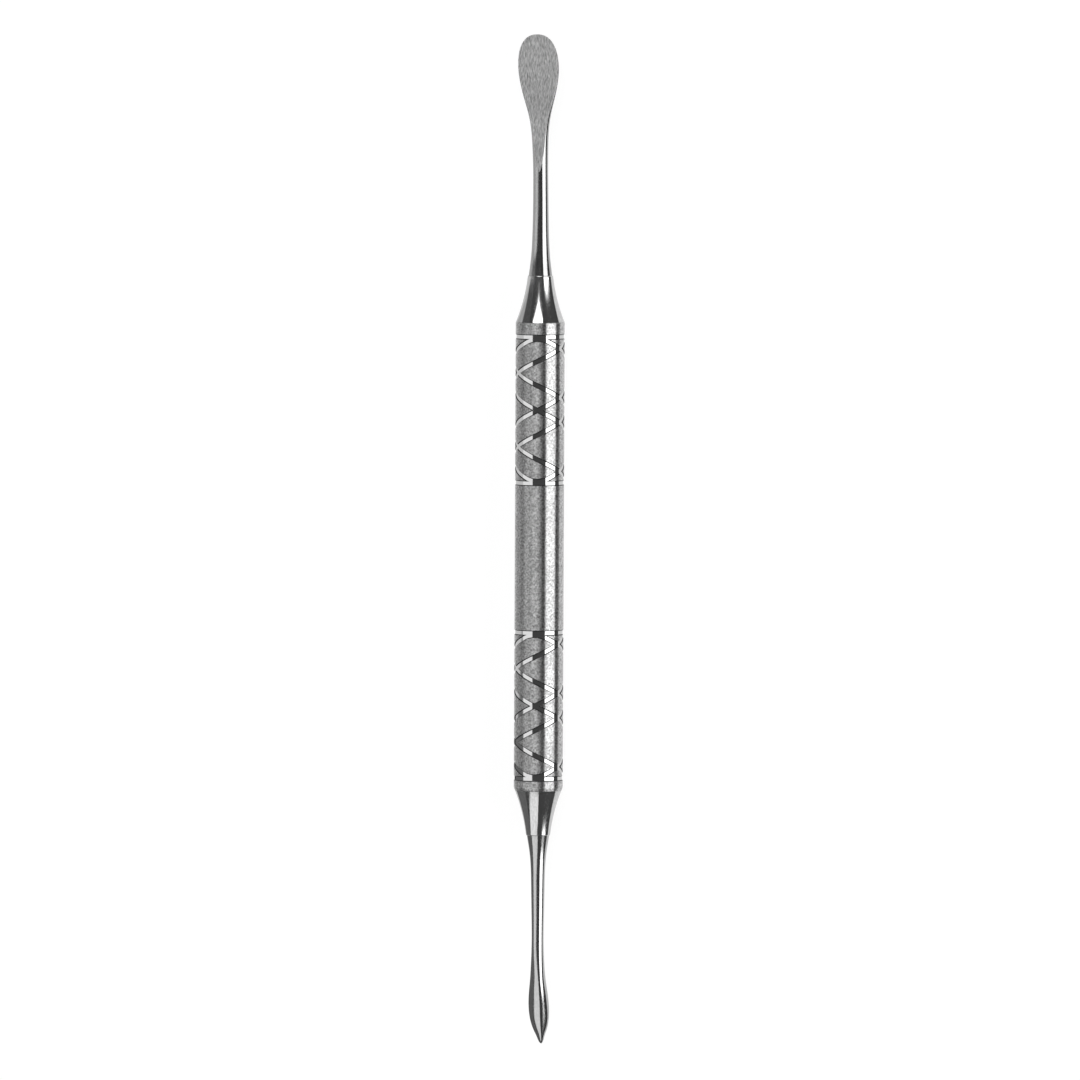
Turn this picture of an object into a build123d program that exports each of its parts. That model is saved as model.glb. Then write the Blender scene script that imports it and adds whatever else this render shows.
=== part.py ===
from build123d import *
import os
from math import atan, cos, pi, radians, sin, sqrt, tan

# Double-ended cuticle pusher lying on its side, in millimetres, +Z up.
# The tool's axis runs along X with the round-nosed pusher blade at +X and the
# pointed spear blade at -X. The ground face of the pusher blade looks up and
# that of the spear blade looks down. The origin is on the surface that the
# tool lies on, under the middle of its length.

# Driving dimensions: handle tube
TOTAL_LENGTH = 165.0
TUBE_D = 8.0
TUBE_BORE_D = 6.6
TUBE_PUSHER_END = 35.55
TUBE_SPEAR_END = -40.90
TUBE_CHAMFER_LENGTH = 0.45
TUBE_CHAMFER_DEPTH = 0.18
BORE_CHAMFER = 0.15

# Driving dimensions: the two grip patterns turned into the tube. Each has a
# ring groove at either end, and two cam grooves that wind from one ring to the
# other and back. An azimuth is measured from straight up towards -Y.
PATTERNS = ((21.34, 6.4), (-26.95, 2.0))  # centre along the tube, azimuth of its first cam groove
GROOVE_WIDTH = 0.70
GROOVE_DEPTH = 0.12
RING_SPACING = 23.85
RING_DISH = 0.04
CAM_LENGTH = 23.75
CAM_TURNS = 2
CUTTER_REACH = 0.30
CAM_STARTS = (0.0, 120.0)

# Driving dimensions: the two end cones
FLARE_R = 29.0
PUSHER_CONE_LENGTH = 7.65
PUSHER_MOUTH_D = 4.16
SPEAR_CONE_LENGTH = 7.40
SPEAR_MOUTH_D = 3.98
MOUTH_LIP_R = 0.14
SPIGOT_LENGTH = 6.0
SPIGOT_CHAMFER = 0.4

# Driving dimensions: the tangs of the blades and their sockets
TANG_D = 2.6
TANG_LENGTH = 10.5
TANG_CHAMFER = 0.3
SOCKET_DEPTH = 11.0
DRILL_POINT_ANGLE = 118.0
FLUTE_COUNT = 18
FLUTE_LENGTH = 8.0
FLUTE_DEPTH = 0.12
FLUTE_ANGLE = 90.0

# Driving dimensions: the pusher blade, as distance along the tool, half width
# and half thickness of the forged blank
PUSHER_SEAM = TUBE_PUSHER_END + PUSHER_CONE_LENGTH
PUSHER_BLANK = (
    (PUSHER_SEAM, 1.93, 1.93),
    (44.5, 1.76, 1.76),
    (46.2, 1.56, 1.56),
    (48.5, 1.41, 1.41),
    (52.0, 1.30, 1.30),
    (56.5, 1.24, 1.24),
    (61.0, 1.23, 1.23),
    (64.5, 1.31, 1.26),
    (67.5, 1.52, 1.25),
    (70.0, 1.99, 1.18),
    (72.5, 2.66, 1.07),
    (75.0, 3.19, 0.95),
)
PUSHER_HEAD_LENGTH = 5.4
PUSHER_HEAD_HALF_WIDTH = 3.38
PUSHER_HEAD_HALF_THICKNESS = 0.86
PUSHER_HEAD_EXPONENT = 2.35
PUSHER_LEAN = 0.90
PUSHER_LEAN_START = 52.0
PUSHER_DROP = 0.96
PUSHER_DROP_START = 60.0
PUSHER_FACE_START = 59.9
PUSHER_FACE_ANGLE = 5.5

# Driving dimensions: the spear blade, in the same form with the height of its
# widest level added. Its front goes from round to a ridge that stands off to
# one side, and the whole blade is turned a little about the tool's axis.
SPEAR_SEAM = TUBE_SPEAR_END - SPEAR_CONE_LENGTH
SPEAR_BLANK = (
    (SPEAR_SEAM, 1.85, 1.85, 0.0),
    (-49.4, 1.66, 1.66, 0.0),
    (-51.0, 1.41, 1.41, 0.0),
    (-53.0, 1.22, 1.22, 0.0),
    (-56.5, 1.11, 1.11, 0.0),
    (-61.0, 1.03, 1.03, 0.0),
    (-65.5, 0.98, 0.98, 0.0),
    (-69.0, 1.08, 1.12, -0.10),
    (-72.0, 1.28, 1.15, -0.17),
    (-74.2, 1.53, 1.22, -0.44),
    (-76.3, 1.66, 1.22, -0.78),
    (-78.3, 1.55, 1.03, -0.92),
    (-80.2, 1.09, 0.76, -0.96),
    (-81.6, 0.55, 0.48, -0.98),
)
SPEAR_TIP_HEIGHT = -0.99
SPEAR_LEAN = -0.645
SPEAR_LEAN_START = -66.0
SPEAR_RIDGE_START = -66.0
SPEAR_RIDGE_FULL = -73.0
SPEAR_RIDGE_EXPONENT = 1.05
SPEAR_RIDGE_SKEW = 0.16
SPEAR_TURN = 12.0
SPEAR_FACE_START = -63.5
SPEAR_FACE_ANGLE = 0.0

# Both blades
BEND_POWER = 2.2
STOCK = 12.0
SECTION_STEPS = 12

# Values worked out from the driving dimensions
TUBE_R = TUBE_D / 2
FLOOR_R = TUBE_R - GROOVE_DEPTH
CUTTER_R = TUBE_R + CUTTER_REACH
AXIS_Z = TUBE_R
TIP_X = TOTAL_LENGTH / 2


def on_axis(shape):
    """Raise a shape made around the X axis to the height of the tool's axis."""
    return Pos(0, 0, AXIS_Z) * shape


def turned(*lines):
    """Solid of revolution about X of an outline drawn in x and radius."""
    edges = [edge for line in lines for edge in line.edges()]
    return revolve(make_face(edges), Axis.X)


# ---------------------------------------------------------------- handle tube
def tube_blank():
    """Plain tube with an outside chamfer at its spear end."""
    bore_r = TUBE_BORE_D / 2
    outline = Polyline(
        (TUBE_SPEAR_END, bore_r + BORE_CHAMFER),
        (TUBE_SPEAR_END, TUBE_R - TUBE_CHAMFER_DEPTH),
        (TUBE_SPEAR_END + TUBE_CHAMFER_LENGTH, TUBE_R),
        (TUBE_PUSHER_END, TUBE_R),
        (TUBE_PUSHER_END, bore_r + BORE_CHAMFER),
        (TUBE_PUSHER_END - BORE_CHAMFER, bore_r),
        (TUBE_SPEAR_END + BORE_CHAMFER, bore_r),
        close=True,
    )
    return turned(outline)


def ring_cutter(x):
    """Ring that cuts one groove with a dished floor all round the tube at x."""
    start, end = x - GROOVE_WIDTH / 2, x + GROOVE_WIDTH / 2
    sides = Polyline((start, FLOOR_R), (start, CUTTER_R), (end, CUTTER_R), (end, FLOOR_R))
    floor = ThreePointArc((end, FLOOR_R), (x, FLOOR_R - RING_DISH), (start, FLOOR_R))
    return turned(sides, floor)


def cam_cutter(centre, azimuth, left_hand):
    """Bar that winds from the pattern's ring groove at -X to the one at +X."""
    pitch = CAM_LENGTH / CAM_TURNS
    helix_angle = atan(pitch / (2 * pi * TUBE_R))
    helix = Helix(pitch=pitch, height=CAM_LENGTH, radius=TUBE_R, lefthand=left_hand)
    section_plane = Plane(origin=(TUBE_R, 0, 0), x_dir=(1, 0, 0), z_dir=(0, 1, 0))
    section = section_plane * Rectangle(2 * (CUTTER_R - TUBE_R), GROOVE_WIDTH / cos(helix_angle))
    bar = sweep(section, helix, is_frenet=True)
    upright_to_axis = Rot(0, 90, 0) * Rot(0, 0, 180 + azimuth)
    return Pos(centre - CAM_LENGTH / 2, 0, 0) * upright_to_axis * bar


def handle_tube():
    """Tube whose cam grooves are cut through a thin outer skin and share its floor."""
    blank = tube_blank()
    inside = Rot(0, 90, 0) * Cylinder(FLOOR_R, TOTAL_LENGTH)
    core = blank & inside
    skin = blank - inside
    for centre, azimuth in PATTERNS:
        for side in (-1, 1):
            ring = ring_cutter(centre + side * RING_SPACING / 2)
            core -= ring
            skin -= ring
        for start in CAM_STARTS:
            for left_hand in (False, True):
                skin -= cam_cutter(centre, azimuth + start, left_hand)
    return on_axis(core + skin)


# -------------------------------------------------------------------- cones
def flare(start, end, radius):
    """Hollow arc of the given radius between two points of an outline."""
    start, end = Vector(*start), Vector(*end)
    chord = end - start
    sagitta = radius - sqrt(radius**2 - chord.length**2 / 4)
    inward = Vector(chord.Y, -chord.X).normalized()
    if inward.Y > 0:
        inward = -inward
    return ThreePointArc(start, (start + end) / 2 + inward * sagitta, end)


def cone(root_d, mouth_d, length):
    """End cone standing on the tube's end at x = 0, its mouth towards +X."""
    lip_centre = Vector(length - MOUTH_LIP_R, mouth_d / 2 - MOUTH_LIP_R)
    lip_start = (lip_centre.X, mouth_d / 2)
    lip_end = (length, lip_centre.Y)
    lip_middle = lip_centre + Vector(1, 1).normalized() * MOUTH_LIP_R
    spigot_r = TUBE_BORE_D / 2
    socket_r = TANG_D / 2
    socket_end = length - SOCKET_DEPTH
    drill_point = socket_r / tan(radians(DRILL_POINT_ANGLE / 2))
    return turned(
        Polyline(
            lip_end,
            (length, socket_r),
            (socket_end, socket_r),
            (socket_end - drill_point, 0),
            (-SPIGOT_LENGTH, 0),
            (-SPIGOT_LENGTH, spigot_r - SPIGOT_CHAMFER),
            (SPIGOT_CHAMFER - SPIGOT_LENGTH, spigot_r),
            (0, spigot_r),
            (0, root_d / 2),
        ),
        flare((0, root_d / 2), lip_start, FLARE_R),
        ThreePointArc(lip_start, lip_middle, lip_end),
    )


def pusher_cone():
    body = cone(TUBE_D, PUSHER_MOUTH_D, PUSHER_CONE_LENGTH)
    return on_axis(Pos(TUBE_PUSHER_END) * body)


def spear_cone():
    root_d = TUBE_D - 2 * TUBE_CHAMFER_DEPTH
    body = cone(root_d, SPEAR_MOUTH_D, SPEAR_CONE_LENGTH)
    return on_axis(Pos(TUBE_SPEAR_END) * mirror(body, Plane.YZ))


# -------------------------------------------------------------------- blades
def bend(x, start, end, offset):
    """Sideways offset of a blade's centre line, growing from start to end."""
    share = max(0.0, (x - start) / (end - start))
    return offset * share**BEND_POWER


def round_section(centre, half_width, half_thickness):
    """Elliptic section of a forged blank, square to the tool's axis."""
    plane = Plane(origin=centre, x_dir=(0, 1, 0), z_dir=(1, 0, 0))
    return plane * Ellipse(half_width, half_thickness)


def ridged_section(centre, half_width, half_thickness, share):
    """Section whose back is round. Its front is round at share 0 and ridged at share 1."""
    power = 2 / (2 + share * (SPEAR_RIDGE_EXPONENT - 2))
    front, back = [], []
    for step in range(SECTION_STEPS + 1):
        angle = pi * step / SECTION_STEPS
        across = half_width * cos(angle)
        height = half_thickness * abs(sin(angle)) ** power
        front.append((across - share * SPEAR_RIDGE_SKEW * height, height))
        back.append((-across, -half_thickness * sin(angle)))
    plane = Plane(origin=centre, x_dir=(0, 1, 0), z_dir=(1, 0, 0))
    return plane * make_face([Spline(*front), Spline(*back)])


def tang(seam_x, inward):
    """Fluted stub that presses into the cone; inward is the way it points."""
    stub = Cylinder(TANG_D / 2, TANG_LENGTH, align=(Align.CENTER, Align.CENTER, Align.MIN))
    stub = chamfer(stub.edges().sort_by(Axis.Z)[-1], TANG_CHAMFER)
    half_width = FLUTE_DEPTH * tan(radians(FLUTE_ANGLE / 2))
    root_r = TANG_D / 2 - FLUTE_DEPTH
    flute = Polygon((root_r, 0), (TANG_D / 2, half_width), (TANG_D / 2, -half_width), align=None)
    flutes = Pos(0, 0, TANG_LENGTH - FLUTE_LENGTH) * extrude(flute, FLUTE_LENGTH)
    stub -= [Rot(0, 0, turn * 360 / FLUTE_COUNT) * flutes for turn in range(FLUTE_COUNT)]
    return Pos(seam_x, 0, 0) * Rot(0, inward * 90, 0) * stub


def above_face(start, side, angle):
    """Stock ground off a blade from start to its tip: side is +1 for a face that looks up at +X."""
    plane = Plane(origin=start, x_dir=(0, 1, 0), z_dir=(0, 0, side))
    outline = Rectangle(STOCK, TOTAL_LENGTH, align=(Align.CENTER, Align.MAX))
    stock = extrude(plane * outline, STOCK)
    return stock.rotate(Axis(start, (0, 1, 0)), angle)


def pusher_centre(x):
    lean = bend(x, PUSHER_LEAN_START, TIP_X, PUSHER_LEAN)
    drop = bend(x, PUSHER_DROP_START, TIP_X, PUSHER_DROP)
    return (x, lean, -drop)


def pusher_head_stations():
    """Superellipse nose, taken at even angles so that the tip closes smoothly."""
    root_x = TIP_X - PUSHER_HEAD_LENGTH
    stations = []
    for angle in (0, 20, 38, 54, 67, 77, 84):
        reach = sin(radians(angle))
        width = (1 - reach**PUSHER_HEAD_EXPONENT) ** (1 / PUSHER_HEAD_EXPONENT)
        stations.append(
            (
                root_x + PUSHER_HEAD_LENGTH * reach,
                PUSHER_HEAD_HALF_WIDTH * width,
                PUSHER_HEAD_HALF_THICKNESS * width,
            )
        )
    return stations


def pusher_blade():
    stations = list(PUSHER_BLANK) + pusher_head_stations()
    sections = [round_section(pusher_centre(x), width, thickness) for x, width, thickness in stations]
    blank = loft(sections + [Vertex(*pusher_centre(TIP_X))])
    shank_r = PUSHER_BLANK[6][1]
    blank -= above_face((PUSHER_FACE_START, 0, shank_r), 1, PUSHER_FACE_ANGLE)
    return on_axis(blank + tang(PUSHER_SEAM, -1))


def spear_centre(x, height):
    return (x, bend(x, SPEAR_LEAN_START, -TIP_X, SPEAR_LEAN), height)


def ridge_share(x):
    """How far the spear's round shank has become its ridged blade at x, from 0 to 1."""
    share = (x - SPEAR_RIDGE_START) / (SPEAR_RIDGE_FULL - SPEAR_RIDGE_START)
    share = min(max(share, 0.0), 1.0)
    return share * share * (3 - 2 * share)


def spear_blade():
    sections = [
        ridged_section(spear_centre(x, height), width, thickness, ridge_share(x))
        for x, width, thickness, height in SPEAR_BLANK
    ]
    blank = loft(sections + [Vertex(*spear_centre(-TIP_X, SPEAR_TIP_HEIGHT))])
    shank_r = SPEAR_BLANK[5][1]
    blank -= above_face((SPEAR_FACE_START, 0, -shank_r), -1, SPEAR_FACE_ANGLE)
    return on_axis(Rot(SPEAR_TURN, 0, 0) * (blank + tang(SPEAR_SEAM, 1)))


NODES = {
    "handle_tube": handle_tube,
    "pusher_cone": pusher_cone,
    "spear_cone": spear_cone,
    "pusher_blade": pusher_blade,
    "spear_blade": spear_blade,
}

os.makedirs("parts", exist_ok=True)
for name, make in NODES.items():
    export_step(make(), f"parts/{name}.step")
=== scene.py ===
from math import atan, atan2, cos, pi, radians, sin, sqrt, tan

import bmesh
import bpy
import numpy as np
from mathutils import Matrix, Vector
from mathutils.geometry import delaunay_2d_cdt


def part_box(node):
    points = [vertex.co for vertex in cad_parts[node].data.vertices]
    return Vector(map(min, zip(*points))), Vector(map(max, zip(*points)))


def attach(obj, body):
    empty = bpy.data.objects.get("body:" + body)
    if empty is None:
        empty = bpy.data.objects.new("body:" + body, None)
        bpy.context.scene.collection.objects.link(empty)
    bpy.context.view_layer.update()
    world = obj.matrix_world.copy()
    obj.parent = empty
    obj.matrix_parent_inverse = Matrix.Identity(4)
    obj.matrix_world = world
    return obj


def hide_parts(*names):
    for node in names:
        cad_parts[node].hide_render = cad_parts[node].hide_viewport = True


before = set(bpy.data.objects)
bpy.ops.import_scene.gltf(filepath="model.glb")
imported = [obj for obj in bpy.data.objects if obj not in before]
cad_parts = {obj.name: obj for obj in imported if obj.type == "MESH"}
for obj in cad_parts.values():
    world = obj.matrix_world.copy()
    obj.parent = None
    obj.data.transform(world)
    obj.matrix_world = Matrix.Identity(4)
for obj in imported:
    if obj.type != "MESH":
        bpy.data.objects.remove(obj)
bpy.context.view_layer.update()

# Looks of a double-ended cuticle pusher in polished and satin steel. Shapes are
# worked out in millimetres and made in metres. As in the CAD frame, the tool's
# axis runs along X with the pusher blade at +X and the spear blade at -X, and
# an azimuth about that axis is measured from straight up towards -Y.
MM = 0.001
MICROMETRE = 1e-6


def box_mm(node):
    """Lowest and highest corner of a CAD node in millimetres."""
    low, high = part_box(node)
    return low / MM, high / MM


# Sizes and places from the frame
TUBE_LOW, TUBE_HIGH = box_mm("handle_tube")
TUBE_START, TUBE_END = TUBE_LOW.x, TUBE_HIGH.x
TUBE_R = (TUBE_HIGH.z - TUBE_LOW.z) / 2
AXIS_Z = (TUBE_HIGH.z + TUBE_LOW.z) / 2
PUSHER_SEAM = box_mm("pusher_cone")[1].x
SPEAR_SEAM = box_mm("spear_cone")[0].x
PUSHER_TIP = box_mm("pusher_blade")[1].x
SPEAR_TIP = box_mm("spear_blade")[0].x

# Handle tube
TUBE_COLUMNS = 180
LAND_STEP = 0.5
BORE_R = 3.3
BORE_CHAMFER = 0.15
END_BREAK = 0.05
CHAMFER_LENGTH = 0.45
CHAMFER_DEPTH = 0.18
SKIN_START = TUBE_START + CHAMFER_LENGTH
SKIN_END = TUBE_END - END_BREAK
GIRTH = 2 * pi * TUBE_R

# Grip patterns: a ring groove at either end of each, and two endless cam
# grooves that wind up and back between them, round-cornered where they turn
PATTERNS = ((21.34, 6.4), (-26.95, 2.0))  # centre along the tube, azimuth of its first cam groove
CAM_STARTS = (0.0, 120.0)
CAM_TURNS = 4
RING_REACH = 11.925
CAM_REACH = 12.035
CAM_BEND_R = 4.4
CAM_ANGLE = atan(CAM_REACH / GIRTH)
GROOVE_WIDTH = 0.72
GROOVE_DEPTH = 0.12
RIM_WIDTH = 0.14  # of a groove's sloped wall
WELD_DISTANCE = 1e-6

# Places in the tube's list of materials, the last of them near-black painted shade on the groove walls, and
# of the ground finish in a blade's
SATIN, GROOVE, WALL_PAINTED_SHADE = range(3)
GROUND = 1

# End cones
CONE_COLUMNS = 180
FLARE_R = 29.0
FLARE_ROWS = 60
ROOT_BREAK = 0.06
ROOT_FALL = ROOT_BREAK / 4
PUSHER_MOUTH_R = 2.08
SPEAR_MOUTH_R = 1.99
LIP_R = 0.14
LIP_ROWS = 6
SPIGOT_LENGTH = 6.0
SPIGOT_CHAMFER = 0.4
SOCKET_DEPTH = 11.0
DRILL_POINT_ANGLE = 118.0

# Blades
BLADE_COLUMNS = 144
BLADE_ROW_STEP = 0.3
NOSE_ROWS = 28
TANG_R = 1.3
TANG_LENGTH = 10.5
TANG_CHAMFER = 0.3
FLUTE_COUNT = 18
FLUTE_LENGTH = 8.0
FLUTE_DEPTH = 0.12
BEND_POWER = 2.2
CREASE_ANGLE = 30.0
CUT_DISTANCE = 1e-9

# Pusher blade: place along the tool, half width and half thickness
PUSHER_STATIONS = (
    (PUSHER_SEAM, 1.93, 1.93),
    (44.5, 1.76, 1.76),
    (46.2, 1.56, 1.56),
    (48.5, 1.41, 1.41),
    (52.0, 1.30, 1.30),
    (56.5, 1.24, 1.24),
    (61.0, 1.23, 1.23),
    (64.5, 1.31, 1.26),
    (67.5, 1.52, 1.25),
    (70.0, 1.99, 1.18),
    (72.5, 2.66, 1.07),
    (75.0, 3.19, 0.95),
    (77.1, 3.38, 0.86),
)
PUSHER_NOSE = (2.35, 2.35)
PUSHER_LEAN = 0.90
PUSHER_LEAN_START = 52.0
PUSHER_DROP = 0.96
PUSHER_DROP_START = 60.0
PUSHER_GROUND_FROM = 58.0  # nothing nearer the cone is ground
PUSHER_FACES = ((60.1, 1.23, 4.5), (66.8, 0.70, 5.9))  # start along the tool, height there, angle

# Spear blade, in the same form with the height of its widest level added. Its
# front goes from round to a ridge that stands off to one side, and the whole
# blade is turned a little about the tool's axis.
SPEAR_STATIONS = (
    (SPEAR_SEAM, 1.85, 1.85, 0.0),
    (-49.4, 1.66, 1.66, 0.0),
    (-51.0, 1.41, 1.41, 0.0),
    (-53.0, 1.22, 1.22, 0.0),
    (-56.5, 1.11, 1.11, 0.0),
    (-61.0, 1.03, 1.03, 0.0),
    (-65.5, 0.98, 0.98, 0.0),
    (-69.0, 1.08, 1.12, -0.10),
    (-72.0, 1.28, 1.15, -0.17),
    (-74.2, 1.53, 1.22, -0.44),
    (-76.3, 1.66, 1.22, -0.78),
    (-78.3, 1.55, 1.03, -0.92),
    (-80.2, 1.09, 0.76, -0.96),
    (-81.6, 0.55, 0.48, -0.98),
)
SPEAR_TIP_HEIGHT = -0.99
SPEAR_NOSE = (1.0, 2.0)
SPEAR_LEAN = -0.645
SPEAR_LEAN_START = -66.0
SPEAR_TURN = 12.0
SPEAR_FACE_START = -63.5
SPEAR_SHANK_R = 1.03
RIDGE_START = -66.0
RIDGE_FULL = -73.0
RIDGE_EXPONENT = 1.05
RIDGE_SKEW = 0.16

# Materials: patches of more and less gloss, in cycles to a millimetre, and the
# levels of a noise that give the two ends of a range of roughness
PATCH_CYCLES = 0.15
NOISE_LOW, NOISE_MIDDLE, NOISE_HIGH = 0.3, 0.5, 0.7
MATT = 0.9
ALONG, ACROSS = (1, 0, 0), (0, 1, 0)

# Soft lights: name, distance in metres, radiance, and the directions of the
# corners by azimuth from the camera's side and tilt towards +X
PANELS = (
    (
        "key_panel", 2.0, 1.08,
        (
            (-33, -3), (-15, -14), (-2, -28), (3, -46), (-45, -46), (-66, -28), (-75, -14),
            (-78, -4.5), (-88, -3.5), (-88, 8), (-60, 8), (-48, 3),
        ),
    ),
    (
        "side_panel", 0.4, 2.7,
        ((31, -16), (42, -25.2), (62, -25.2), (80, -16), (80, 13), (62, 22), (48, 26), (34, 22.5), (28, 13)),
    ),
    ("top_panel", 2.0, 2.8, ((-12, 25), (14, 39), (18, 60), (-46, 60), (-42, 39))),
    ("left_band", 1.0, 0.75, ((-88, -3.7), (-180, -3.7), (-180, 9), (-88, 9))),
    ("left_grey_lower", 2.2, 0.16, ((-79, -60), (-144, -60), (-144, -3), (-79, -3))),
    ("left_grey_upper", 2.2, 0.10, ((-60, 9), (-104, 9), (-104, 50), (-60, 50))),
    ("back_left_upper", 2.0, 0.5, ((-104, 9), (-180, 9), (-180, 60), (-104, 60))),
    ("back_left_lower", 2.0, 0.7, ((-144, -60), (-180, -60), (-180, -5), (-144, -5))),
    ("back_right", 2.0, 0.85, ((108, -60), (180, -60), (180, 60), (108, 60))),
)

# Camera: its place is an azimuth and tilt about the middle of the tool
SIGHT_AZIMUTH = 12.0
SIGHT_TILT = 3.0
SIGHT_ROLL = 0.25
SIGHT_DISTANCE = 2.7
SIGHT_SHIFT = 0.11
FRAME_HEIGHT = 0.1763
SENSOR = 36.0
FLOOR_REACH = 1.5


# ------------------------------------------------------------------ mesh tools
def smoothstep(share):
    share = np.clip(share, 0, 1)
    return share * share * (3 - 2 * share)


def azimuths(columns):
    """Azimuths of the columns of a row."""
    return np.arange(columns) * 2 * pi / columns


def round_points(x, r, azimuth):
    """Points at places x along the tool, by radius and azimuth about its axis."""
    return np.column_stack((x, -r * np.sin(azimuth), AXIS_Z + r * np.cos(azimuth)))


def turned_row(x, r, columns):
    """Ring of points at x, of radius r about the tool's axis."""
    return round_points(np.full(columns, x), r, azimuths(columns))


def strip(row, next_row):
    """Quads between two closed rows of vertex numbers."""
    return np.column_stack((row, np.roll(row, -1), np.roll(next_row, -1), next_row)).tolist()


def closed_rows(rows, start_point, end_point, side):
    """Vertices and faces of a tube of rows, closed by a fan to a point at each end.

    side is +1 for rows that run towards +X and -1 for rows that run towards -X.
    """
    columns = len(rows[0])
    vertices = np.concatenate([*rows, [start_point], [end_point]])
    numbers = np.arange(len(rows) * columns).reshape(-1, columns)
    start, end = len(vertices) - 2, len(vertices) - 1
    first, last = numbers[0].tolist(), numbers[-1].tolist()
    faces = [quad for row, next_row in zip(numbers, numbers[1:]) for quad in strip(row, next_row)]
    faces += [(start, first[(i + 1) % columns], first[i]) for i in range(columns)]
    faces += [(last[i], last[(i + 1) % columns], end) for i in range(columns)]
    return vertices, faces if side > 0 else [face[::-1] for face in faces]


def make_mesh(name, vertices, faces, materials):
    """Mesh in metres, smooth but for its creases."""
    mesh = bpy.data.meshes.new(name)
    mesh.from_pydata((np.asarray(vertices) * MM).tolist(), [], faces)
    mesh.shade_smooth()
    mesh.set_sharp_from_angle(angle=radians(CREASE_ANGLE))
    for material in materials:
        mesh.materials.append(material)
    return mesh


def add_piece(mesh, node):
    """Add the object that stands for a CAD node."""
    piece = bpy.data.objects.new(mesh.name, mesh)
    bpy.context.scene.collection.objects.link(piece)
    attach(piece, "root")
    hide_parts(node)


# ----------------------------------------------------------------- handle tube
def turn_offset(w, offset):
    """Height above a pattern's middle of a line beside a cam groove, w round from where it turns."""
    bend_centre = CAM_REACH - CAM_BEND_R / cos(CAM_ANGLE)
    r = CAM_BEND_R + offset
    bend = bend_centre + np.sqrt(np.maximum(r * r - w * w, 0))
    straight = CAM_REACH + offset / cos(CAM_ANGLE) - w * tan(CAM_ANGLE)
    return np.where(w < r * sin(CAM_ANGLE), bend, straight)


def cam_line(columns, centre, azimuth, turn, offset):
    """Places along the tube, one to a column, of a line beside one turn of a cam groove."""
    travel = np.mod(columns - radians(azimuth) * TUBE_R + turn * GIRTH, CAM_TURNS * GIRTH)
    from_top = np.abs(travel - 2 * GIRTH)
    upper = centre + turn_offset(from_top, offset)
    lower = centre - turn_offset(2 * GIRTH - from_top, -offset)
    return np.where(from_top <= GIRTH, upper, lower)


def rim_lines(columns):
    """Lines along the rims of every groove: the outer edge, middle and foot of each wall."""
    half = GROOVE_WIDTH / 2
    offsets = [side * (half + rim) for side in (-1, 1) for rim in (-RIM_WIDTH / 2, 0, RIM_WIDTH / 2)]
    lines = []
    for centre, azimuth in PATTERNS:
        for offset in offsets:
            for side in (-1, 1):
                lines.append(np.full_like(columns, centre + side * RING_REACH + offset))
            for start in CAM_STARTS:
                for turn in range(CAM_TURNS):
                    lines.append(cam_line(columns, centre, azimuth + start, turn, offset))
    return lines


def cam_distance(w, reach):
    """Distance from a cam groove's centre line, w round from where it turns."""
    from_bend = reach - CAM_REACH + CAM_BEND_R / cos(CAM_ANGLE)
    bend = np.hypot(w, from_bend) - CAM_BEND_R
    straight = (reach - CAM_REACH + w * tan(CAM_ANGLE)) * cos(CAM_ANGLE)
    return np.abs(np.where(w < from_bend * tan(CAM_ANGLE), bend, straight))


def groove_distance(u, x):
    """Distance, over the unrolled tube, from the centre line of the nearest groove."""
    nearest = np.full(np.shape(x), np.inf)
    for centre, azimuth in PATTERNS:
        reach = np.abs(x - centre)
        nearest = np.minimum(nearest, np.abs(reach - RING_REACH))
        for start in CAM_STARTS:
            w = np.mod(u - radians(azimuth + start) * TUBE_R, GIRTH)
            nearest = np.minimum(nearest, cam_distance(w, reach))
            nearest = np.minimum(nearest, cam_distance(GIRTH - w, reach))
    return nearest


def wall_share(distance):
    """Share of a groove's wall that is passed at a distance from its centre line."""
    return np.clip((distance - GROOVE_WIDTH / 2) / RIM_WIDTH + 0.5, 0, 1)


def groove_depth(distance):
    """Depth below the tube's outside at a distance from a groove's centre line."""
    return GROOVE_DEPTH * (1 - smoothstep(wall_share(distance)))


def groove_slope(distance):
    """Change of depth with distance from a groove's centre line."""
    share = wall_share(distance)
    return -GROOVE_DEPTH / RIM_WIDTH * 6 * share * (1 - share)


def land_points(columns):
    """Staggered points over the tube, clear of the grooves."""
    rows = np.arange(SKIN_START + LAND_STEP, SKIN_END - LAND_STEP, LAND_STEP)
    u, x = np.meshgrid(columns, rows)
    x[:, ::2] += LAND_STEP / 2
    clear = groove_distance(np.mod(u, GIRTH), x) > GROOVE_WIDTH / 2 + RIM_WIDTH
    return np.column_stack((u[clear], x[clear]))


def unrolled_skin():
    """Points and triangles over the unrolled outside of the tube, with edges along every rim."""
    columns = np.linspace(0, GIRTH, TUBE_COLUMNS + 1)
    ends = [np.full_like(columns, x) for x in (SKIN_START, SKIN_END)]
    lines = [np.column_stack((columns, line)) for line in ends + rim_lines(columns)]
    edges = [(i, i + 1) for i in range(len(lines) * len(columns)) if (i + 1) % len(columns)]
    points = np.concatenate([*lines, land_points(columns)])
    vectors = [Vector(point) for point in points]
    found = delaunay_2d_cdt(vectors, edges, [], 0, WELD_DISTANCE, False)
    return np.array([tuple(point) for point in found[0]]), np.array(found[2])


def joined_seam(points, triangles):
    """The unrolled skin with its two edges made one."""
    near = GIRTH / TUBE_COLUMNS / 100
    left = np.flatnonzero(points[:, 0] < near)
    right = np.flatnonzero(points[:, 0] > GIRTH - near)
    merged = np.arange(len(points))
    merged[right[np.argsort(points[right, 1])]] = left[np.argsort(points[left, 1])]
    kept, numbers = np.unique(merged[triangles], return_inverse=True)
    return points[kept], numbers.reshape(-1, 3)


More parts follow.
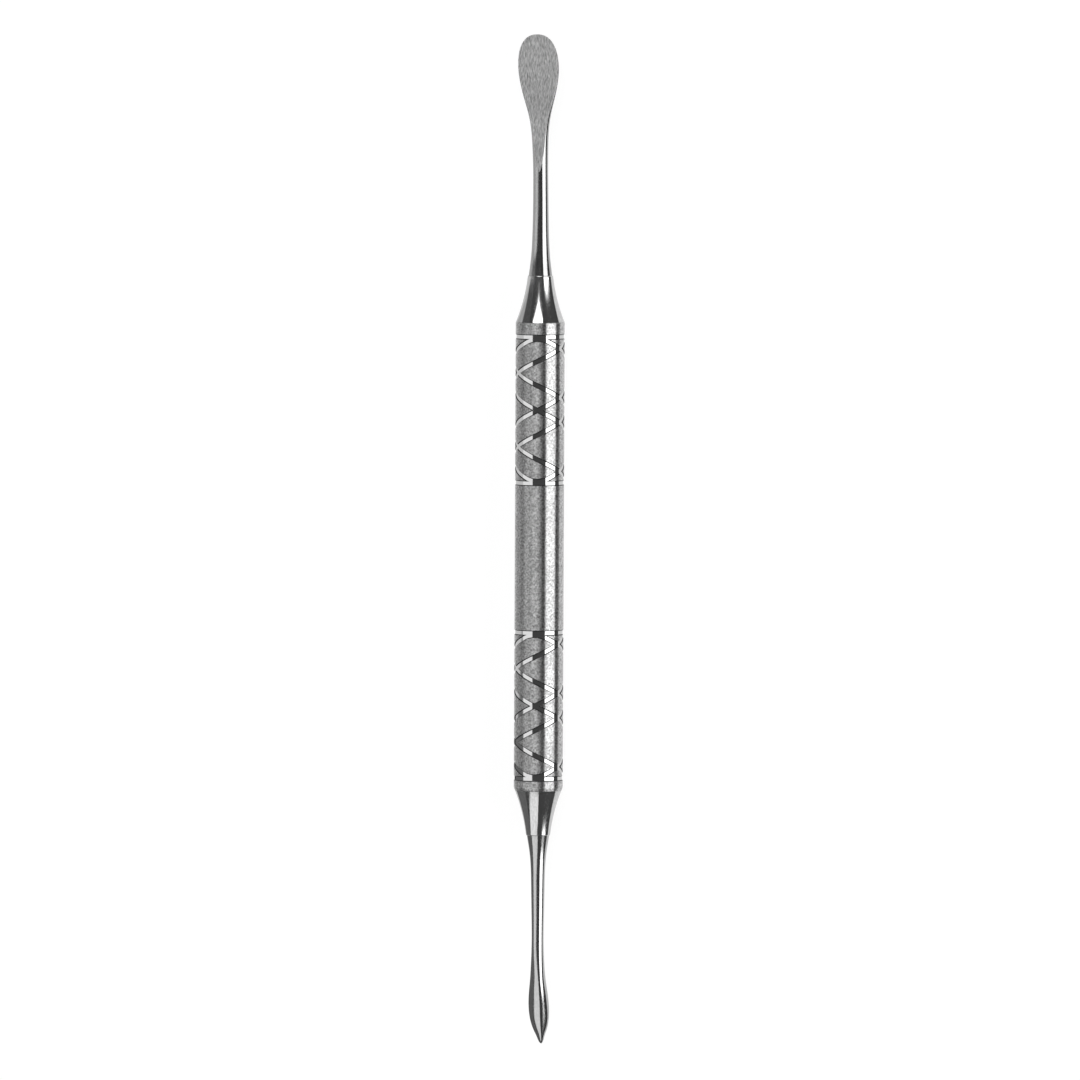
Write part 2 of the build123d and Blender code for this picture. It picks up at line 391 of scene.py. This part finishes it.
def skin_normals(u, x):
    """Outward normals of the tube's outside, worked out from the shape of the grooves."""
    step = RIM_WIDTH / 10
    slope = groove_slope(groove_distance(u, x)) / (2 * step)
    along = slope * (groove_distance(u, x + step) - groove_distance(u, x - step))
    around = slope * (groove_distance(u + step, x) - groove_distance(u - step, x))
    azimuth = u / TUBE_R
    outward = np.column_stack((along, -np.sin(azimuth), np.cos(azimuth)))
    sideways = np.column_stack((np.zeros(len(u)), -np.cos(azimuth), -np.sin(azimuth)))
    normals = outward + sideways * around[:, None]
    return normals / np.linalg.norm(normals, axis=1)[:, None]


def border_row(points, x):
    """Numbers of the skin's points at one end, in order round the tube."""
    numbers = np.flatnonzero(np.abs(points[:, 1] - x) < LAND_STEP / 100)
    return numbers[np.argsort(points[numbers, 0])]


def handle_tube(materials):
    """Tube with a grooved outside, carried on round its ends and through its bore."""
    points, triangles = joined_seam(*unrolled_skin())
    u, x = points.T
    outline = (
        (TUBE_END, TUBE_R - END_BREAK),
        (TUBE_END, BORE_R + BORE_CHAMFER),
        (TUBE_END - BORE_CHAMFER, BORE_R),
        (TUBE_START + BORE_CHAMFER, BORE_R),
        (TUBE_START, BORE_R + BORE_CHAMFER),
        (TUBE_START, TUBE_R - CHAMFER_DEPTH),
    )
    inner = [turned_row(place, r, TUBE_COLUMNS) for place, r in outline]
    numbers = np.arange(len(inner) * TUBE_COLUMNS).reshape(-1, TUBE_COLUMNS) + len(points)
    rows = [border_row(points, SKIN_END), *numbers, border_row(points, SKIN_START)]
    quads = [quad for row, next_row in zip(rows, rows[1:]) for quad in strip(row, next_row)]
    skin = round_points(x, TUBE_R - groove_depth(groove_distance(u, x)), u / TUBE_R)
    mesh = make_mesh("tube", np.concatenate([skin, *inner]), triangles.tolist() + quads, materials)

    corners = np.array([normal.vector for normal in mesh.corner_normals])
    corners[: triangles.size] = skin_normals(u, x)[triangles.ravel()]
    mesh.normals_split_custom_set(corners)

    corner_u, corner_x = points[triangles].transpose(2, 0, 1)
    across = np.mod(corner_u - corner_u[:, :1] + GIRTH / 2, GIRTH) - GIRTH / 2
    from_edge = groove_distance(corner_u[:, 0] + across.mean(1), corner_x.mean(1)) - GROOVE_WIDTH / 2
    # Faces on a groove's sloped wall take the near-black material: painted shade and painted dark reflection
    # along every rim
    zones = (from_edge < -RIM_WIDTH / 2, from_edge < RIM_WIDTH / 2)
    finish = np.concatenate((np.select(zones, (GROOVE, WALL_PAINTED_SHADE), SATIN), np.full(len(quads), SATIN)))
    mesh.polygons.foreach_set("material_index", finish.astype(np.int32))
    return mesh


# ----------------------------------------------------------------------- cones
def arc(start, end, radius, count):
    """Points of a hollow arc from start to end, both left out. A negative radius makes it crowned."""
    chord = end - start
    outward = Vector((-chord.y, chord.x)).normalized() * (1 if radius > 0 else -1)
    centre = (start + end) / 2 + outward * sqrt(radius**2 - chord.length_squared / 4)
    first, last = (atan2(point.y - centre.y, point.x - centre.x) for point in (start, end))
    turn = (last - first + pi) % (2 * pi) - pi
    angles = [first + turn * i / count for i in range(1, count)]
    return [centre + Vector((cos(angle), sin(angle))) * abs(radius) for angle in angles]


def cone_mesh(name, seam, side, root_r, mouth_r, length, material):
    """End cone with its spigot and socket. side is the end of the tool that it is at."""
    root = Vector((ROOT_BREAK, root_r - ROOT_FALL))
    lip_start, lip_end = Vector((length - LIP_R, mouth_r)), Vector((length, mouth_r - LIP_R))
    socket_end = length - SOCKET_DEPTH
    outline = [
        (-SPIGOT_LENGTH, BORE_R - SPIGOT_CHAMFER),
        (SPIGOT_CHAMFER - SPIGOT_LENGTH, BORE_R),
        (0, BORE_R),
        (0, root_r - ROOT_BREAK),
        root,
        *arc(root, lip_start, FLARE_R, FLARE_ROWS),
        lip_start,
        *arc(lip_start, lip_end, -LIP_R, LIP_ROWS),
        lip_end,
        (length, TANG_R),
        (socket_end, TANG_R),
    ]
    drill_point = socket_end - TANG_R / tan(radians(DRILL_POINT_ANGLE / 2))
    rows = [turned_row(seam + side * x, r, CONE_COLUMNS) for x, r in outline]
    start, end = (seam + side * x for x in (-SPIGOT_LENGTH, drill_point))
    vertices, faces = closed_rows(rows, (start, 0, AXIS_Z), (end, 0, AXIS_Z), side)
    return make_mesh(name, vertices, faces, [material])


# ---------------------------------------------------------------------- blades
def spline(places, values, end_slope):
    """Smooth curve through some points, straight at its start and with a given slope at its end."""
    places, values = np.asarray(places, float), np.asarray(values, float)
    gaps, rises = np.diff(places), np.diff(values)
    count = len(places)
    system, right = np.eye(count), np.zeros(count)
    for i in range(1, count - 1):
        system[i, i - 1 : i + 2] = gaps[i - 1], 2 * (gaps[i - 1] + gaps[i]), gaps[i]
        right[i] = 6 * (rises[i] / gaps[i] - rises[i - 1] / gaps[i - 1])
    system[-1, -2:] = gaps[-1], 2 * gaps[-1]
    right[-1] = 6 * (end_slope - rises[-1] / gaps[-1])
    bends = np.linalg.solve(system, right)

    def curve(x):
        i = np.clip(np.searchsorted(places, x) - 1, 0, count - 2)
        before, after, gap = places[i + 1] - x, x - places[i], gaps[i]
        cubic = (bends[i] * before**3 + bends[i + 1] * after**3) / (6 * gap)
        lines = (values[i] / gap - bends[i] * gap / 6) * before
        return cubic + lines + (values[i + 1] / gap - bends[i + 1] * gap / 6) * after

    return curve


def bend(x, start, end, offset):
    """Sideways offset of a blade's centre line, growing from start to end."""
    return offset * np.maximum(0, (x - start) / (end - start)) ** BEND_POWER


def blade_outline(stations, tip, nose):
    """Places of a blade's rows, with the half width and half thickness there.

    Distances are from the middle. After the last station the blade closes by the nose's two exponents.
    """
    places, widths, depths = np.abs(np.array(stations)[:, :3]).T
    reach = abs(tip) - places[-1]
    first, second = nose
    body = np.arange(places[0], places[-1], BLADE_ROW_STEP)
    share = np.sin(np.arange(NOSE_ROWS) * pi / 2 / NOSE_ROWS)
    closing = (1 - share**first) ** (1 / second)
    x = np.concatenate((body, places[-1] + reach * share))
    sizes = []
    for size in (widths, depths):
        end_slope = -size[-1] / (second * reach) if first == 1 else 0
        sizes.append(np.concatenate((spline(places, size, end_slope)(body), size[-1] * closing)))
    return x * np.sign(tip), *sizes


def blade_rows(x, half_widths, half_depths, centre, ridge_share):
    """Sections of a blade about the X axis. A section's front is round at share 0 and ridged at 1."""
    angle = azimuths(BLADE_COLUMNS)
    rows = []
    for place, half_width, half_depth in zip(x, half_widths, half_depths):
        _, y, z = centre(place)
        share = ridge_share(place)
        height = np.cos(angle)
        front = np.abs(height) ** (2 / (2 + share * (RIDGE_EXPONENT - 2)))
        up = half_depth * np.where(height > 0, front, height)
        across = -half_width * np.sin(angle) - share * RIDGE_SKEW * np.maximum(up, 0)
        rows.append(np.column_stack((np.full(BLADE_COLUMNS, place), y + across, z + up)))
    return rows


def tang_rows(seam, side):
    """Rows of the fluted stub, from its inner end to the blade's seam."""
    angle = azimuths(BLADE_COLUMNS)
    pitch = 2 * pi / FLUTE_COUNT
    from_flute = np.abs(np.mod(angle + pitch / 2, pitch) - pitch / 2) * TANG_R
    fluted = TANG_R - np.maximum(0, FLUTE_DEPTH - from_flute)
    profile = (
        (TANG_LENGTH, fluted - TANG_CHAMFER),
        (TANG_LENGTH - TANG_CHAMFER, fluted),
        (TANG_LENGTH - FLUTE_LENGTH, fluted),
        (TANG_LENGTH - FLUTE_LENGTH, TANG_R),
        (0, TANG_R),
    )
    lowered = (0, 0, AXIS_Z)
    return [turned_row(seam - side * depth, r, BLADE_COLUMNS) - lowered for depth, r in profile]


def blade_mesh(name, rows, seam, tip_point, materials):
    """Blade with its stub, lying along the X axis."""
    side = np.sign(tip_point[0])
    start = (seam - side * TANG_LENGTH, 0, 0)
    vertices, faces = closed_rows(tang_rows(seam, side) + rows, start, tip_point, side)
    return make_mesh(name, vertices, faces, materials)


def grind(mesh, x, height, angle, side, ahead_of):
    """Grind a flat face through a point of a blade, on the part of it past a place.

    side is +1 for a face of the pusher blade that looks up, and -1 for one of the
    spear blade that looks down.
    """
    facing = Vector((sin(radians(angle)), 0, cos(radians(angle)))) * side
    shape = bmesh.new()
    shape.from_mesh(mesh)
    start = Vector((x, 0, height)) * MM
    ahead = [vertex for vertex in shape.verts if (vertex.co.x - ahead_of * MM) * side > 0]
    among = set(ahead)
    parts = [part for part in shape.edges[:] + shape.faces[:] if among.issuperset(part.verts)]
    cut = bmesh.ops.bisect_plane(
        shape, geom=[*ahead, *parts], plane_co=start, plane_no=facing, dist=CUT_DISTANCE, clear_outer=True
    )
    rim = [part for part in cut["geom_cut"] if isinstance(part, bmesh.types.BMEdge)]
    flat = bmesh.ops.contextual_create(shape, geom=rim)["faces"][0]
    if flat.normal.dot(facing) < 0:
        flat.normal_flip()
    flat.material_index = GROUND
    for edge in rim:
        edge.smooth = False
    shape.to_mesh(mesh)
    shape.free()


def pusher_centre(x):
    lean = bend(x, PUSHER_LEAN_START, PUSHER_TIP, PUSHER_LEAN)
    return x, lean, -bend(x, PUSHER_DROP_START, PUSHER_TIP, PUSHER_DROP)


def spear_heights():
    """Curve of the height of the spear's widest level."""
    places, _, _, heights = np.array([*SPEAR_STATIONS, (SPEAR_TIP, 0, 0, SPEAR_TIP_HEIGHT)]).T
    slope = (heights[-1] - heights[-2]) / (places[-2] - places[-1])
    curve = spline(-places, heights, slope)
    return lambda x: float(curve(-x))


def pusher_blade(steel, ground):
    outline = blade_outline(PUSHER_STATIONS, PUSHER_TIP, PUSHER_NOSE)
    rows = blade_rows(*outline, pusher_centre, lambda x: 0)
    mesh = blade_mesh("pusher_tip", rows, PUSHER_SEAM, pusher_centre(PUSHER_TIP), [steel, ground])
    for x, height, angle in PUSHER_FACES:
        grind(mesh, x, height, angle, 1, PUSHER_GROUND_FROM)
    mesh.transform(Matrix.Translation((0, 0, AXIS_Z * MM)))
    return mesh


def spear_blade(steel, ground):
    heights = spear_heights()
    outline = blade_outline(SPEAR_STATIONS, SPEAR_TIP, SPEAR_NOSE)

    def centre(x):
        return x, bend(x, SPEAR_LEAN_START, SPEAR_TIP, SPEAR_LEAN), heights(x)

    def ridge_share(x):
        return smoothstep((x - RIDGE_START) / (RIDGE_FULL - RIDGE_START))

    rows = blade_rows(*outline, centre, ridge_share)
    mesh = blade_mesh("spear_tip", rows, SPEAR_SEAM, centre(SPEAR_TIP), [steel, ground])
    grind(mesh, SPEAR_FACE_START, -SPEAR_SHANK_R, 0, -1, SPEAR_FACE_START)
    turn = Matrix.Rotation(radians(SPEAR_TURN), 4, "X")
    mesh.transform(Matrix.Translation((0, 0, AXIS_Z * MM)) @ turn)
    return mesh


# ------------------------------------------------------------------- materials
def add_node(tree, kind, inputs=None, **properties):
    """Shader node with its properties set, and its inputs set or linked."""
    made = tree.nodes.new("ShaderNode" + kind)
    for key, value in properties.items():
        setattr(made, key, value)
    for key, value in (inputs or {}).items():
        if isinstance(value, bpy.types.NodeSocket):
            tree.links.new(value, made.inputs[key])
        else:
            made.inputs[key].default_value = value
    return made


def noise(tree, place, cycles):
    """Noise with so many cycles in a millimetre along X, Y and Z."""
    scale = [count / MM for count in cycles]
    mapped = add_node(tree, "Mapping", {"Vector": place, "Scale": scale}).outputs["Vector"]
    return add_node(tree, "TexNoise", {"Vector": mapped, "Scale": 1.0}).outputs["Fac"]


def math_node(tree, operation, *values):
    """Result of a sum on numbers and sockets."""
    return add_node(tree, "Math", dict(enumerate(values)), operation=operation).outputs["Value"]


def steel(name, tone, roughness, grain, speckle, anisotropy=0.0, blur=ALONG):
    """Steel whose tone and roughness vary, with grain lines and speckle in its tone and relief.

    grain and speckle are each cycles in a millimetre along X, Y and Z, a share of
    the tone and a depth in micrometres. roughness is a range. blur is the way
    that a highlight is drawn out, and anisotropy how strongly.
    """
    material = bpy.data.materials.new(name)
    material.use_nodes = True
    tree = material.node_tree
    shader = tree.nodes["Principled BSDF"]
    place = add_node(tree, "TexCoord").outputs["Object"]
    patches = noise(tree, place, (PATCH_CYCLES,) * 3)
    level, normal = tone, None
    for cycles, share, depth in (grain, speckle):
        found = noise(tree, place, cycles)
        swing = math_node(tree, "SUBTRACT", found, NOISE_MIDDLE)
        level = math_node(tree, "MULTIPLY_ADD", swing, share, level)
        inputs = {"Height": found, "Distance": depth * MICROMETRE, "Strength": 1.0}
        if normal:
            inputs["Normal"] = normal
        normal = add_node(tree, "Bump", inputs).outputs["Normal"]
    colour = add_node(tree, "CombineColor", {"Red": level, "Green": level, "Blue": level})
    low, high = roughness
    gloss = {"Value": patches, "From Min": NOISE_LOW, "From Max": NOISE_HIGH, "To Min": low, "To Max": high}
    axis = add_node(tree, "CombineXYZ", dict(zip("XYZ", blur))).outputs["Vector"]
    tangent = add_node(tree, "VectorTransform", {"Vector": axis}, convert_from="OBJECT", convert_to="WORLD")
    tree.links.new(colour.outputs["Color"], shader.inputs["Base Color"])
    tree.links.new(add_node(tree, "MapRange", gloss).outputs["Result"], shader.inputs["Roughness"])
    tree.links.new(normal, shader.inputs["Normal"])
    tree.links.new(tangent.outputs["Vector"], shader.inputs["Tangent"])
    shader.inputs["Metallic"].default_value = 1.0
    shader.inputs["Anisotropic"].default_value = anisotropy
    return material


# ----------------------------------------------------------------------- stage
def towards(azimuth, tilt):
    """Direction at an azimuth from the camera's side towards the image's right, tilted towards +X."""
    azimuth, tilt = radians(SIGHT_AZIMUTH + azimuth), radians(tilt)
    return Vector((sin(tilt), -cos(tilt) * sin(azimuth), cos(tilt) * cos(azimuth)))


def glowing(name, radiance, diffuse=0.0):
    """Plain material that gives off light, over a diffuse share of its own."""
    material = bpy.data.materials.new(name)
    material.use_nodes = True
    shader = material.node_tree.nodes["Principled BSDF"]
    shader.inputs["Base Color"].default_value = (diffuse, diffuse, diffuse, 1)
    shader.inputs["Roughness"].default_value = MATT
    shader.inputs["Specular IOR Level"].default_value = 0.0
    shader.inputs["Emission Color"].default_value = (1, 1, 1, 1)
    shader.inputs["Emission Strength"].default_value = radiance
    return material


def add_stage(name, corners, material):
    """Flat staged surface with the given corners, in metres."""
    mesh = bpy.data.meshes.new(name)
    mesh.from_pydata(corners, [], [tuple(range(len(corners)))])
    mesh.materials.append(material)
    surface = bpy.data.objects.new(name, mesh)
    bpy.context.scene.collection.objects.link(surface)
    return surface


def add_panel(name, directions, distance, radiance):
    """Soft light, flat and unseen itself, whose corners lie in the given directions."""
    rays = [towards(*direction) for direction in directions]
    facing = sum(rays, Vector()).normalized()
    centre = Vector((0, 0, AXIS_Z * MM))
    corners = [centre + ray * distance / ray.dot(facing) for ray in rays]
    panel = add_stage(name, corners, glowing(name, radiance))
    panel.visible_camera = False


def set_world(seen, reflected):
    """Surroundings that are pale behind the tool and dark in its reflections."""
    world = bpy.data.worlds.new("surroundings")
    bpy.context.scene.world = world
    world.use_nodes = True
    tree = world.node_tree
    path = add_node(tree, "LightPath").outputs["Is Camera Ray"]
    inputs = {"Value": path, "To Min": reflected, "To Max": seen}
    strength = add_node(tree, "MapRange", inputs).outputs["Result"]
    tree.nodes["Background"].inputs["Color"].default_value = (1, 1, 1, 1)
    tree.links.new(strength, tree.nodes["Background"].inputs["Strength"])


def add_camera():
    """Camera that looks down at the tool's middle from its -Y side, with +X up in the picture."""
    back = towards(0, SIGHT_TILT)
    right = towards(90, 0)
    up = back.cross(right)
    roll = radians(SIGHT_ROLL)
    level_right, level_up = right * cos(roll) + up * sin(roll), up * cos(roll) - right * sin(roll)
    target = Vector((0, 0, AXIS_Z * MM)) + right * SIGHT_SHIFT * MM
    camera = bpy.data.objects.new("camera", bpy.data.cameras.new("camera"))
    bpy.context.scene.collection.objects.link(camera)
    turn = Matrix((level_right, level_up, back)).transposed().to_4x4()
    camera.matrix_world = Matrix.Translation(target + back * SIGHT_DISTANCE) @ turn
    camera.data.sensor_width = SENSOR
    camera.data.lens = SENSOR * SIGHT_DISTANCE / FRAME_HEIGHT
    bpy.context.scene.camera = camera


# ----------------------------------------------------------------------- scene
RING_LINES = ((7, 0.5, 0.5), 0.04, 0.1)
RING_SPECKLE = ((3, 3, 3), 0.04, 0.1)
SHANK_SPECKLE = ((2, 3, 3), 0.15, 0.3)

satin = steel(
    "satin_steel",
    tone=0.57,
    roughness=(0.33, 0.39),
    grain=((4, 0.8, 0.8), 0.15, 0.4),
    speckle=((3.2, 3.2, 3.2), 1.3, 2.2),
    anisotropy=0.97,
)
groove = steel("groove_steel", 0.66, (0.03, 0.07), RING_LINES, RING_SPECKLE)
# Groove walls: steel toned near black, a painted shade and painted dark reflection that stand in for the
# steep walls seen edge-on, not a darker steel
wall = steel("groove_wall_painted_shade", 0.06, (0.30, 0.40), RING_LINES, RING_SPECKLE)
polished = steel(
    "polished_steel",
    tone=0.65,
    roughness=(0.09, 0.14),
    grain=((0.3, 7, 7), 0.15, 0.1),
    speckle=((1.5, 4, 4), 0.25, 0.2),
    anisotropy=0.9,
)
pusher_steel = steel(
    "pusher_steel", 0.42, (0.10, 0.15), ((0.4, 5, 5), 0.10, 0.15), SHANK_SPECKLE, anisotropy=0.9
)
spear_steel = steel(
    "spear_steel", 0.53, (0.09, 0.13), ((0.4, 5, 5), 0.08, 0.15), SHANK_SPECKLE, anisotropy=0.9
)
ground_steel = steel(
    "ground_steel",
    tone=0.70,
    roughness=(0.48, 0.56),
    grain=((0.3, 11, 11), 1.5, 1.5),
    speckle=((1.5, 9, 9), 0.9, 0.8),
    anisotropy=0.5,
    blur=ACROSS,
)

add_piece(handle_tube([satin, groove, wall]), "handle_tube")
pusher_cone = cone_mesh(
    "pusher_end_cone", TUBE_END, 1, TUBE_R, PUSHER_MOUTH_R, PUSHER_SEAM - TUBE_END, polished
)
spear_root_r = TUBE_R - CHAMFER_DEPTH
spear_cone = cone_mesh(
    "spear_end_cone", TUBE_START, -1, spear_root_r, SPEAR_MOUTH_R, TUBE_START - SPEAR_SEAM, polished
)
add_piece(pusher_cone, "pusher_cone")
add_piece(spear_cone, "spear_cone")
add_piece(pusher_blade(pusher_steel, ground_steel), "pusher_blade")
add_piece(spear_blade(spear_steel, ground_steel), "spear_blade")

floor_corners = [(x * FLOOR_REACH, y * FLOOR_REACH, 0) for x, y in ((-1, -1), (1, -1), (1, 1), (-1, 1))]
floor = add_stage("floor", floor_corners, glowing("pale_floor", radiance=0.9, diffuse=0.2))
floor.visible_glossy = False
for name, distance, radiance, directions in PANELS:
    add_panel(name, directions, distance, radiance)
set_world(seen=1.0, reflected=0.07)
add_camera()
bpy.context.scene.view_settings.view_transform = "Standard"
